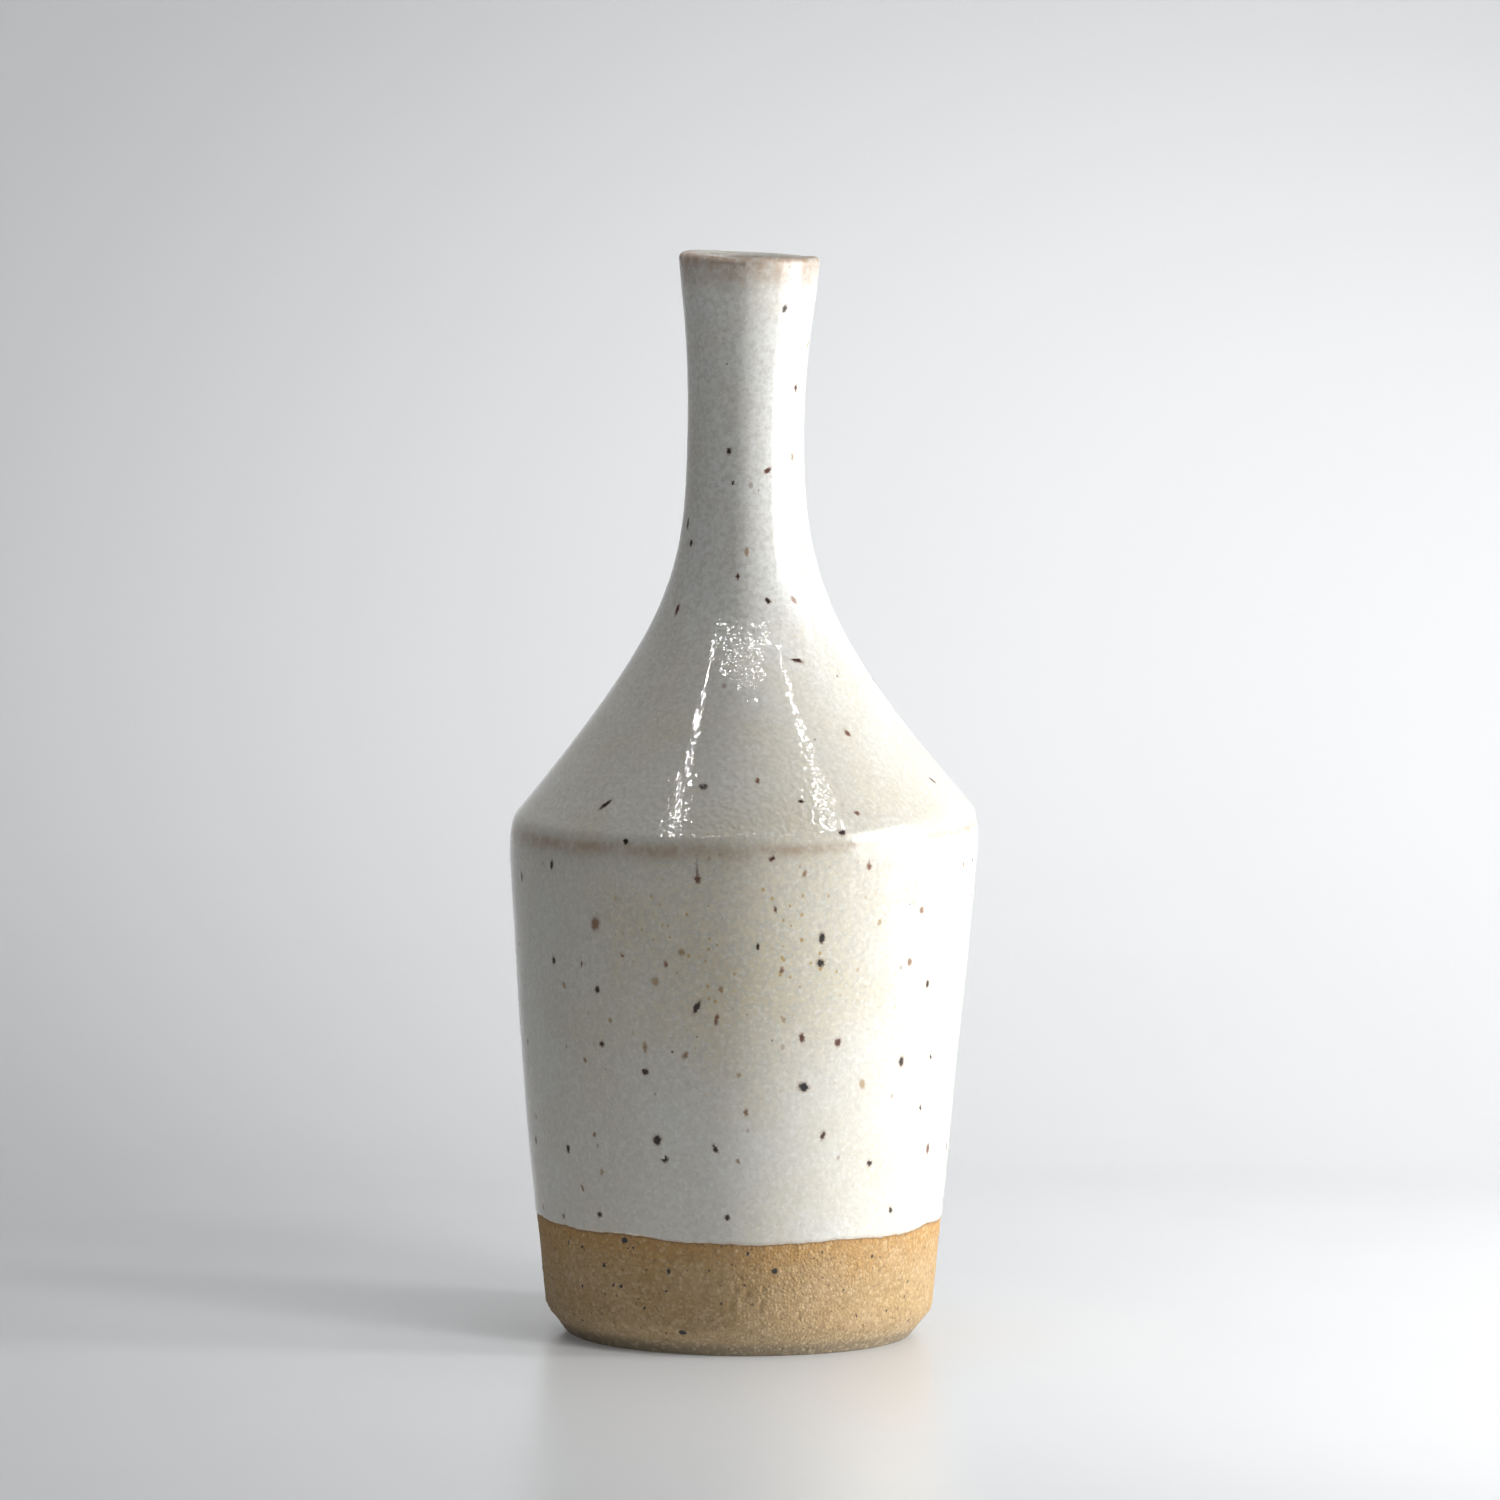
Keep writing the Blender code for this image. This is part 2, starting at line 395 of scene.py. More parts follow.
def settle_specks(obj, specks, radius_at, least_radius):
    """Writes, on the vertices round each speck, their place in that speck's own axes and what it is.

    Between the vertices these numbers are exact, because a place is linear across a face. The
    material draws each speck from them, so a speck is as sharp as the picture and not as the mesh.
    radius_at gives the wall's radius at a height. Vertices nearer the axis than least_radius are inside.
    """
    far_off = 9.0  # the place written on vertices that belong to no speck
    halo = 1.9  # how far past a speck its numbers are written
    points = positions(obj)
    outward = normals(obj)
    radii = np.hypot(points[:, 0], points[:, 1])
    faces_out = (points[:, :2] * outward[:, :2]).sum(1) / np.maximum(radii, 1e-9) > -0.2
    usable = np.flatnonzero(faces_out & (radii > least_radius(points[:, 2])))
    tree = kdtree.KDTree(len(usable))
    for i in usable:
        tree.insert(points[i], int(i))
    tree.balance()
    owner = np.full(len(points), -1)
    place = np.full((len(points), 3), far_off)
    size = np.ones((len(points), 3))
    iron = np.zeros(len(points))
    best = np.full(len(points), np.inf)
    for n, speck in enumerate(specks):
        turn = math.radians(FRONT + speck.turn)
        aim = Vector((math.cos(turn), math.sin(turn), 0)) * radius_at(speck.height)
        aim.z = speck.height
        found, centre, _ = tree.find(aim)
        middle = np.array(found)
        normal = Vector(outward[centre])
        across = Vector((-math.sin(turn), math.cos(turn), 0))
        upward = normal.cross(across).normalized()
        lean = Matrix.Rotation(math.radians(-speck.lean), 3, normal)
        across = np.array(lean @ across)
        upward = np.array(lean @ upward)
        reach = speck.length / 2 + speck.tail + halo
        for _, i, distance in tree.find_range(aim, reach + 1):
            if distance < best[i] and distance < reach:
                best[i] = distance
                owner[i] = n
                offset = points[i] - middle
                place[i] = offset @ across, offset @ upward, 0
                size[i] = speck.width / 2, speck.length / 2, max(speck.tail, 0.01)
                iron[i] = speck.iron

    # An edge between two specks has another one's numbers at each end, so its farther end is cleared.
    here = (owner >= 0).astype(float)
    ends = np.empty(len(obj.data.edges) * 2, np.int32)
    obj.data.edges.foreach_get("vertices", ends)
    ends = ends.reshape(-1, 2)
    rivals = ends[(owner[ends[:, 0]] != owner[ends[:, 1]]) & (owner[ends].min(1) >= 0)]
    farther = np.where(best[rivals[:, 0]] > best[rivals[:, 1]], rivals[:, 0], rivals[:, 1])
    here[farther] = 0
    paint(obj, "speck_place", place)
    paint(obj, "speck_size", size)
    paint(obj, "speck_iron", iron)
    paint(obj, "speck_here", here)


# -------- material graphs

class Graph:
    """The node tree of a material or a lamp, with one short call for each kind of node used here."""

    def __init__(self, owner):
        owner.use_nodes = True
        self.tree = owner.node_tree

    def node(self, kind, **settings):
        """A new node of that kind."""
        made = self.tree.nodes.new(kind)
        for key, value in settings.items():
            setattr(made, key, value)
        return made

    def plug(self, socket, value):
        """Links another node's output to an input, or sets the input to a number or a colour."""
        if isinstance(value, bpy.types.NodeSocket):
            self.tree.links.new(value, socket)
        elif isinstance(value, tuple) and len(value) == 3 and socket.type == "RGBA":
            socket.default_value = (*value, 1)
        else:
            socket.default_value = value

    def math(self, operation, a, b=0.0, c=0.0):
        """An operation on up to three numbers."""
        made = self.node("ShaderNodeMath", operation=operation)
        for socket, value in zip(made.inputs, (a, b, c)):
            self.plug(socket, value)
        return made.outputs[0]

    def times(self, a, b):
        """a * b."""
        return self.math("MULTIPLY", a, b)

    def times_plus(self, a, b, c):
        """a * b + c."""
        return self.math("MULTIPLY_ADD", a, b, c)

    def vector(self, operation, a, b=(0, 0, 0), scale=1.0):
        """An operation on one or two vectors that gives a vector."""
        made = self.node("ShaderNodeVectorMath", operation=operation)
        self.plug(made.inputs[0], a)
        self.plug(made.inputs[1], b)
        self.plug(made.inputs[3], scale)
        return made.outputs["Vector"]

    def split(self, kind, value):
        """All outputs of a node with a single input."""
        made = self.node(kind)
        self.plug(made.inputs[0], value)
        return made.outputs

    def parts(self, vector):
        """The three numbers of a vector."""
        return self.split("ShaderNodeSeparateXYZ", vector)

    def shades(self, colour):
        """The three numbers of a colour."""
        return self.split("ShaderNodeSeparateColor", colour)

    def painted(self, name, output="Fac"):
        """What paint() kept on the mesh under a name. Three numbers come from its Vector output."""
        return self.node("ShaderNodeAttribute", attribute_name=name).outputs[output]

    def between(self, value, low, high, out_low=0.0, out_high=1.0, smooth=True):
        """The value mapped from low..high to out_low..out_high, held at the ends."""
        made = self.node("ShaderNodeMapRange", interpolation_type="SMOOTHSTEP" if smooth else "LINEAR")
        for socket, number in zip(made.inputs, (value, low, high, out_low, out_high)):
            self.plug(socket, number)
        return made.outputs["Result"]

    def mix(self, share, a, b):
        """Colour a turned towards b by share."""
        made = self.node("ShaderNodeMix", data_type="RGBA")
        for socket, value in zip((made.inputs[0], made.inputs[6], made.inputs[7]), (share, a, b)):
            self.plug(socket, value)
        return made.outputs[2]

    def ramp(self, value, stops):
        """A colour from a list of (position, colour)."""
        made = self.node("ShaderNodeValToRGB")
        self.plug(made.inputs[0], value)
        elements = made.color_ramp.elements
        while len(elements) < len(stops):
            elements.new(0.5)
        for element, (position, colour) in zip(elements, stops):
            element.position = position
            element.color = (*colour, 1)
        return made.outputs["Color"]


class Surface(Graph):
    """The node tree of a new material, with textures measured in millimetres on the object."""

    def __init__(self, name):
        self.material = bpy.data.materials.new(name)
        super().__init__(self.material)
        self.shader = self.tree.nodes["Principled BSDF"]
        metres = self.node("ShaderNodeTexCoord").outputs["Object"]
        self.mm = self.vector("SCALE", metres, scale=1 / MM)

    def place(self, size, stretch, shift):
        """The place on the object in units of size millimetres, drawn out by stretch and shifted."""
        squeezed = self.vector("DIVIDE", self.mm, tuple(size * s for s in stretch))
        return self.vector("ADD", squeezed, (shift, shift, shift))

    def noise(self, size, detail, roughness, stretch=(1, 1, 1), shift=0.0, output="Fac"):
        """Noise whose features are about size millimetres across, drawn out by stretch."""
        made = self.node("ShaderNodeTexNoise")
        self.plug(made.inputs["Vector"], self.place(size, stretch, shift))
        made.inputs["Scale"].default_value = 1.0
        made.inputs["Detail"].default_value = detail
        made.inputs["Roughness"].default_value = roughness
        return made.outputs[output]

    def cells(self, size, stretch=(1, 1, 1), shift=0.0):
        """Voronoi cells about size millimetres across: (distance from the centre, random colour)."""
        made = self.node("ShaderNodeTexVoronoi")
        self.plug(made.inputs["Vector"], self.place(size, stretch, shift))
        made.inputs["Scale"].default_value = 1.0
        return made.outputs["Distance"], made.outputs["Color"]

    def bump(self, height, depth, under=None):
        """A surface normal with the height, from 0 to 1, standing depth millimetres proud."""
        made = self.node("ShaderNodeBump")
        made.inputs["Distance"].default_value = depth * MM
        self.plug(made.inputs["Height"], height)
        if under is not None:
            self.plug(made.inputs["Normal"], under)
        return made.outputs["Normal"]

    def finish(self, colour, roughness, normal):
        """The material, with these as its surface."""
        self.plug(self.shader.inputs["Base Color"], colour)
        self.plug(self.shader.inputs["Roughness"], roughness)
        self.plug(self.shader.inputs["Normal"], normal)
        return self.material


# Iron in the glaze, from a stain to a black speck, and the ring of brown round a speck.
OCHRE = (0.42, 0.27, 0.08)
RUST = (0.19, 0.07, 0.045)
UMBER = (0.045, 0.022, 0.018)
IRON_BLACK = (0.012, 0.011, 0.012)
HALO = (0.42, 0.27, 0.17)

# The glaze.
WHITE = (0.80, 0.785, 0.725)
LINER_WHITE = (0.78, 0.76, 0.69)
COOL_WHITE = (0.92, 0.925, 0.91)
WARM_CREAM = (0.75, 0.665, 0.475)
CURD = (0.60, 0.585, 0.525)
MILK = (0.92, 0.915, 0.885)
FAINT_STAIN = (0.69, 0.58, 0.47)
TAN_FLECK = (0.55, 0.36, 0.12)
RUST_FLECK = (0.28, 0.15, 0.08)
THIN_BROWN = (0.46, 0.30, 0.19)
THIN_PIT = (0.26, 0.14, 0.07)

# The bare clay.
BUFF = (0.51, 0.34, 0.155)
PALE_BUFF = (0.59, 0.41, 0.22)
FLASHED = (0.56, 0.31, 0.095)
DUSTY = (0.45, 0.355, 0.225)
# Painted shade for the lower chamfer, which faces down to the table.
UNDERSIDE_SHADE = (0.22, 0.19, 0.14)
PALE_GRAIN = (0.82, 0.66, 0.42)
DARK_GRAIN = (0.25, 0.16, 0.08)
# Painted shade for the gaps between grains.
GAP_SHADE = (0.20, 0.13, 0.07)
PALE_SAND = (0.78, 0.64, 0.42)
DARK_SAND = (0.22, 0.15, 0.08)
DARK_GROG = (0.07, 0.055, 0.045)
# Painted shade for pits and pinholes.
PIT_SHADE = (0.15, 0.10, 0.06)
PINHOLE_SHADE = (0.11, 0.08, 0.055)
# Partly flashing and partly painted shadow, just under the glaze's edge.
EDGE_FLASH_AND_SHADOW = (0.20, 0.11, 0.045)
BLUE_BLACK = (0.05, 0.062, 0.075)

# The table and backdrop, and the faint light from all round.
BOARD = (0.495, 0.502, 0.510)
PALE_BOARD = (0.505, 0.512, 0.520)
SKY = (0.80, 0.81, 0.83)


def draw_specks(graph):
    """(core, halo, colour) of the specks that settle_specks wrote on the mesh."""
    here = graph.math("GREATER_THAN", graph.painted("speck_here"), 0.995)
    size = graph.parts(graph.painted("speck_size", "Vector"))
    iron = graph.painted("speck_iron")
    wobble = graph.vector("SUBTRACT", graph.noise(0.6, 3, 0.7, output="Color"), (0.5, 0.5, 0.5))
    wobble = graph.vector("SCALE", wobble, scale=1.15)
    place = graph.vector("ADD", graph.painted("speck_place", "Vector"), wobble)
    x, y, _ = graph.parts(place)
    across = graph.math("DIVIDE", x, size[0])
    along = graph.math("DIVIDE", y, size[1])
    far = graph.math("ADD", graph.math("POWER", across, 2), graph.math("POWER", along, 2))
    far = graph.math("SQRT", far)
    # Molten iron runs down and leaves a thin tail above the drop.
    up_tail = graph.between(graph.math("DIVIDE", y, size[2]), 0.0, 1.3, smooth=False)
    tail_width = graph.times(graph.math("SUBTRACT", 1.0, up_tail), 0.55)
    beside_tail = graph.math("SUBTRACT", graph.math("ABSOLUTE", across), tail_width)
    tail = graph.between(beside_tail, 0.22, -0.05)
    tail = graph.times(tail, graph.math("GREATER_THAN", y, 0.0))
    tail = graph.times(tail, graph.math("GREATER_THAN", size[2], 0.1))
    tail = graph.times(tail, graph.between(up_tail, 0.95, 0.1, 0.0, 0.75))
    blob = graph.between(far, 1.5, 0.75)
    strength = graph.between(iron, 0.0, 0.6, 0.5, 0.97, smooth=False)
    strength = graph.times(here, strength)
    core = graph.times(graph.math("MAXIMUM", blob, tail), strength)
    halo = graph.times(graph.between(far, 2.2, 0.9, 0.0, 0.5), here)
    colour = graph.ramp(iron, [(0.0, OCHRE), (0.45, RUST), (0.72, UMBER), (1.0, IRON_BLACK)])
    return core, halo, colour


def sprinkle(graph, size, share, radius, shift, stretch=(1, 1, 1)):
    """Fine dots in a share of the cells: 1 at their centres and 0 between them."""
    distance, colour = graph.cells(size, stretch, shift)
    red, green, _ = graph.shades(colour)
    chosen = graph.math("LESS_THAN", red, share)
    reach = graph.times_plus(green, radius * 0.7, radius * 0.45)
    dots = graph.between(distance, reach, graph.times(reach, 0.45))
    return graph.times(dots, chosen)


def speckled_glaze(name, white, warmth):
    """Glossy white glaze: milky, a little rippled, with iron specks, and brown where it runs thin."""
    graph = Surface(name)
    _, _, height = graph.parts(graph.mm)

    # Cooler up the neck and warmer in clouds, mottled with curds and milk, and faintly stained.
    cloud = graph.between(graph.noise(16, 3, 0.55), 0.35, 0.7)
    warm = graph.times_plus(graph.painted("warm"), 0.8, graph.times(cloud, warmth))
    neck = graph.between(height, 108, 142)
    colour = graph.mix(graph.times(neck, 0.75), white, COOL_WHITE)
    colour = graph.mix(warm, colour, WARM_CREAM)
    mottled = graph.times_plus(neck, 0.18, 0.46)
    curdled = graph.times_plus(graph.painted("warm"), 0.4, mottled)
    milky = graph.times_plus(graph.painted("warm"), -0.08, mottled)
    curd = graph.between(graph.noise(1.1, 4, 0.7), 0.35, 0.68)
    colour = graph.mix(graph.times(curd, curdled), colour, CURD)
    milk = graph.between(graph.noise(0.8, 3, 0.65, shift=3.0), 0.5, 0.66)
    colour = graph.mix(graph.times(milk, milky), colour, MILK)
    stain = graph.between(graph.noise(6, 3, 0.6, shift=9.0), 0.55, 0.85, 0.0, 0.3)
    colour = graph.mix(stain, colour, FAINT_STAIN)

    # Fine dots of iron.
    flecks = sprinkle(graph, 1.7, 0.5, 0.26, 1.0, (1, 1, 1.25))
    flecks = graph.times(flecks, graph.times_plus(graph.painted("warm"), 0.9, 0.08))
    colour = graph.mix(flecks, colour, TAN_FLECK)
    rust = graph.times(sprinkle(graph, 5.5, 0.4, 0.1, 7.0, (1, 1, 1.4)), 0.5)
    colour = graph.mix(rust, colour, RUST_FLECK)
    pepper = graph.times(sprinkle(graph, 4.2, 0.34, 0.085, 4.0), 0.8)
    colour = graph.mix(pepper, colour, UMBER)

    # Over an edge the coat is thin, and the iron in the clay shows through in streaks.
    streaks = graph.noise(2.2, 4, 0.65, stretch=(1, 1, 1.4), shift=6.0)
    thin = graph.times(graph.painted("thin"), graph.between(streaks, 0.25, 0.65, 0.25, 1.0))
    colour = graph.mix(thin, colour, THIN_BROWN)
    pits = graph.times(sprinkle(graph, 1.7, 0.35, 0.24, 12.0), graph.painted("thin"))
    colour = graph.mix(graph.times(pits, 0.6), colour, THIN_PIT)

    core, halo, speck_colour = draw_specks(graph)
    colour = graph.mix(halo, colour, HALO)
    colour = graph.mix(core, colour, speck_colour)

    # Glossy, but duller on iron, where it is thin and on top of the lip.
    roughness = graph.between(graph.noise(5, 3, 0.6, shift=15.0), 0.3, 0.7, 0.02, 0.035)
    roughness = graph.times_plus(core, 0.12, roughness)
    roughness = graph.times_plus(thin, 0.10, roughness)
    roughness = graph.math("ADD", roughness, graph.between(height, HEIGHT - 3, HEIGHT - 0.5, 0.0, 0.35))
    peel = graph.bump(graph.noise(2.2, 2, 0.5, shift=20.0), 0.010)
    pebbles = graph.times(graph.noise(1.0, 0.3, 0.5, shift=25.0), graph.painted("relief"))
    grain = graph.bump(pebbles, 0.08, peel)
    dimples = graph.bump(graph.math("SUBTRACT", 1.0, pepper), 0.03, grain)
    return graph.finish(colour, roughness, dimples)


def stoneware():
    """Bare buff stoneware: sandy, flecked light and dark, browner where the glaze begins."""
    graph = Surface("bare_stoneware")
    _, _, height = graph.parts(graph.mm)

    # Buff in patches, toasted next to the glaze and dusty down at the table, with painted shade on the
    # lower chamfer that faces down.
    patches = graph.between(graph.noise(9, 4, 0.6), 0.3, 0.72)
    colour = graph.mix(patches, BUFF, PALE_BUFF)
    flash = graph.times_plus(graph.noise(7, 3, 0.6, shift=2.0), 9.0, height)
    colour = graph.mix(graph.between(flash, 17, 27, 0.0, 0.85), colour, FLASHED)
    colour = graph.mix(graph.between(height, 9, 0.5, 0.0, 0.6), colour, DUSTY)
    # Painted shade: the lower chamfer, which faces the table, is darkened.
    colour = graph.mix(graph.between(height, 3.2, 1.2, 0.0, 0.7), colour, UNDERSIDE_SHADE)

    # Grains of sand and grog, each with its own tone, and painted shade in the gaps between them.
    distance, tone = graph.cells(0.62, shift=3.0)
    tone_red, tone_green, _ = graph.shades(tone)
    colour = graph.mix(graph.between(tone_red, 0.66, 1.0, 0.0, 0.34), colour, PALE_GRAIN)
    colour = graph.mix(graph.between(tone_red, 0.35, 0.0, 0.0, 0.3), colour, DARK_GRAIN)
    # Painted shade: the gaps between the grains, which the bump sets low, are darkened.
    gap_shade = graph.between(distance, 0.45, 0.85)
    colour = graph.mix(graph.times(gap_shade, 0.2), colour, GAP_SHADE)
    sand = graph.noise(0.3, 3, 0.7, shift=8.0)
    colour = graph.mix(graph.between(sand, 0.54, 0.7, 0.0, 0.15), colour, PALE_SAND)
    colour = graph.mix(graph.between(sand, 0.45, 0.3, 0.0, 0.3), colour, DARK_SAND)
    dark_grog = sprinkle(graph, 1.9, 0.3, 0.19, 34.0)
    colour = graph.mix(graph.times(dark_grog, 0.8), colour, DARK_GROG)
    # Painted shade: dark spots that stand for the shade inside small pits and pinholes.
    pits = graph.between(graph.noise(1.1, 3, 0.7, shift=41.0), 0.6, 0.7, 0.0, 0.55)
    colour = graph.mix(pits, colour, PIT_SHADE)
    pinhole_shade = sprinkle(graph, 1.1, 0.3, 0.17, 37.0)
    colour = graph.mix(graph.times(pinhole_shade, 0.6), colour, PINHOLE_SHADE)
    # A thin dark line on the clay just under the glaze's edge: partly flashing, partly painted shadow of
    # the glaze's edge.
    edge_flash_and_shadow = graph.between(graph.times_plus(sand, 0.8, graph.painted("below_glaze")), 1.0, 0.35)
    colour = graph.mix(graph.times(edge_flash_and_shadow, 0.6), colour, EDGE_FLASH_AND_SHADOW)
    core, _, speck_colour = draw_specks(graph)
    colour = graph.mix(core, colour, graph.mix(0.4, speck_colour, BLUE_BLACK))

    roughness = graph.between(sand, 0.3, 0.7, 0.6, 0.85)
    proud = graph.between(tone_green, 0.0, 1.0, 0.25, 1.0)
    grains = graph.times(graph.between(distance, 0.75, 0.15), proud)
    coarse = graph.bump(grains, 0.11)
    fine = graph.bump(sand, 0.09, coarse)
    return graph.finish(colour, roughness, fine)


# -------- the three pieces

def wall_radius(height):
    """The finished outside's radius at a height, on average round the vase."""
    line = outside()[::-1]
    return float(np.interp(height, line[:, 1], line[:, 0]))


def glaze_line(turns):
    """How far the glaze's lower edge stands above its mean height, round the vase."""
    slow = waver(turns, 0.22, 6, 11)
    ragged = waver(turns, 0.18, 40, 12) + waver(turns, 0.40, 170, 13)
    right = half_turn(np.degrees(turns) - FRONT)
    sag = -0.75 * bell(right, -1, 27) - 0.5 * bell(right, 50, 9)
    step_at = 63
    step = 0.6 / (1 + np.exp(step_at - right)) * bell(right, step_at, 16)
    return slow + ragged + sag + step


def near_line(height):
    """The share of the glaze line's wander that the coat follows at a height: all of it at the line."""
    fades_over = 3.0
    return math.exp(-max(0.0, height - GLAZE_LINE) / fades_over)


def clay_rings():
    """The clay's rings, from the middle of the floor round to the middle of the underside.

    They are fine on the bare clay. Each has as many vertices as the last, or twice or half as many.
    """
    fine = 800
    coarse = 100
    under = COAT + HAIR
    inside = fresh_rows(hollow(), 4.0)
    inside = inside - under * sides_of(inside)
    lip = fresh_rows(lip_round(), 0.8)
    lip = lip - under * sides_of(lip)
    skin = outside()
    skin = fresh_rows(skin - under * sides_of(skin), lambda p: 1.6 if p[1] > HEIGHT - 5 else 3.0)
    skin = skin[skin[:, 1] > GLAZE_LINE + 6]
    wall = fresh_rows(np.array((skin[-1], WALL_END - (under, 0), BEVEL_BEND)), 0.29)[1:-2]
    stand = np.array((STANDING_RADIUS, 0.0))
    bevel = fresh_rows(np.vstack((
        bezier(BEVEL_BEND, BEVEL_TOP + (0.03, 0.4), BEVEL_TOP - (0.25, 0.3), BEVEL_TOP - (1.0, 1.22), 8),
        bezier(BEVEL_END + (0.6, 0.74), BEVEL_END, BEVEL_END - (0.2, 0.3), BEVEL_END - (0.7, 0.9), 6),
        bezier(BEVEL_END - (0.9, 1.15), stand + (0.8, 0.4), stand + (0.6, 0.05), stand, 6),
    )), 0.27)
    ring_inside = STANDING_RADIUS - STANDING_RING
    flat = fresh_rows(np.array(((STANDING_RADIUS - 0.2, 0), (ring_inside, 0))), 0.5)
    step = fresh_rows(np.array(((ring_inside - 0.2, 0.1), (ring_inside - 1.3, UNDERCUT))), 0.4)

    rings = [ring(0, inside[0][1], 1)]
    for share, count in ((0.2, 25), (0.5, 50), (0.8, 100)):
        rings.append(ring(inside[0][0] * share, inside[0][1], count))
    rings += [ring(*p, coarse) for p in np.vstack((inside, lip, skin))]
    rings += [ring(*wall[0], coarse * 2), ring(*wall[1], coarse * 4)]
    rings += [ring(*p, fine) for p in np.vstack((wall[2:], bevel))]
    rings += [ring(*p, fine // 2) for p in np.vstack((flat, step))]
    # Under the base, with the faint waves that trimming leaves.
    for share, count in ((0.93, 200), (0.86, 200), (0.79, 200), (0.72, 200), (0.65, 100), (0.55, 100),
                         (0.45, 100), (0.35, 50), (0.25, 50), (0.15, 25), (0.07, 25)):
        rings.append(ring(ring_inside * share, UNDERCUT + 0.12 * math.sin(share * 40), count))
    rings.append(ring(0, UNDERCUT, 1))
    return [off_true(r) for r in rings]


def clay_relief(points):
    """Heights of the sandy, pitted surface at these places. The ring it stands on is only pitted."""
    relief = 0.05 * field(points, 0.75, 1) + 0.05 * field(points, 1.6, 2) + 0.06 * field(points, 9.0, 3)
    relief += 0.12 * np.clip(field(points, 1.3, 4) - 0.4, 0, 0.3) / 0.3
    relief -= 0.2 * np.clip(-0.48 - field(points, 1.5, 5), 0, 0.25) / 0.25
    on_ring = points[:, 2] < 0.35
    return np.where(on_ring, 0.3 * np.minimum(relief, 0), relief)


CLAY_SPECKS = [
    Speck(-34, 21.2, 1.3, 1.0, 1.0),
    Speck(-17, 3.4, 1.3, 1.0, 0.95),
    Speck(10, 16.5, 1.0, 1.0, 0.95),
    Speck(-20.5, 15.8, 0.8, 0.9, 0.95),
    Speck(-42, 16, 0.7, 0.8, 0.95),
    Speck(-36, 12.5, 0.7, 0.7, 0.95),
]


def stoneware_body():
    """The clay, with its sandy grain on what the glaze leaves bare."""
    obj = turned_mesh("stoneware", clay_rings(), False, stoneware())

    points = positions(obj)
    in_hollow = (np.hypot(points[:, 0], points[:, 1]) < WALL_END[0] - 4) & (points[:, 2] > FLOOR - 2)
    bare = (points[:, 2] < GLAZE_LINE + 5) & ~in_hollow
    heights = np.zeros(len(points))
    heights[bare] = clay_relief(points[bare])
    push_out(obj, heights)
    points = positions(obj)
    points[:, 2] = np.maximum(points[:, 2], 0)
    place_vertices(obj, points)

    turns = np.arctan2(points[:, 1], points[:, 0])
    paint(obj, "below_glaze", np.abs(GLAZE_LINE + glaze_line(turns) - points[:, 2]))
    others = [
        s._replace(iron=max(s.iron, 0.85), tail=0, width=s.width * 0.8, length=s.length * 0.7)
        for s in random_specks(60, 2, 20, 31)
    ]
    settle_specks(obj, CLAY_SPECKS + others, lambda z: 37.0, lambda z: BODY)
    return obj


def coat_spacing(point):
    """How far apart the coat's rings are at a point of its outline."""
    radius, height = point
    if height < GLAZE_LINE + 2.5:
        return 0.25
    if height > HEIGHT - 3:
        return 0.4
    if SHOULDER[1] < height < SHOULDER_TOP[1] + 2 and radius > 35:
        return 0.6
    return 1.15


def coat_rings(fine):
    """(rings, how many of them face out): up inside the mouth, over the lip, down, and back under."""
    mouth = hollow()
    mouth = mouth[mouth[:, 1] > MEETING + 0.3]
    whole = np.vstack((mouth, lip_round(), outside()))
    face = fresh_rows(whole, coat_spacing)
    past_top = np.arange(len(face)) > np.argmax(face[:, 1])
    roll_height = 0.7
    rolled = 1 - np.clip((face[:, 1] - GLAZE_LINE) / roll_height, 0, 1)
    thickness = np.where(past_top, np.sqrt(1 - rolled**2), 1.0)
    face = face - sides_of(face) * (COAT * (1 - thickness))[:, None]
    back = fresh_rows(whole[::-1], lambda p: 1.0 if p[1] > HEIGHT - 4 else 2.6)
    back = back + COAT * sides_of(back)  # travelling the other way, so this is towards the clay

    wander = glaze_line(np.arange(fine) * math.tau / fine)
    rings = []
    for p, is_outside in zip(face, past_top):
        r = ring(*p, fine)
        if is_outside:
            pull = near_line(p[1])
            r[:, 2] += wander * pull
            r[:, :2] *= (1 + wander * pull * 0.08 / p[0])[:, None]
        rings.append(off_true(r))
    for p in back:
        r = ring(*p, fine // 2)
        if p[0] > BODY:
            r[:, 2] += wander[::2] * near_line(p[1])
        rings.append(off_true(r))
    return rings, len(face)


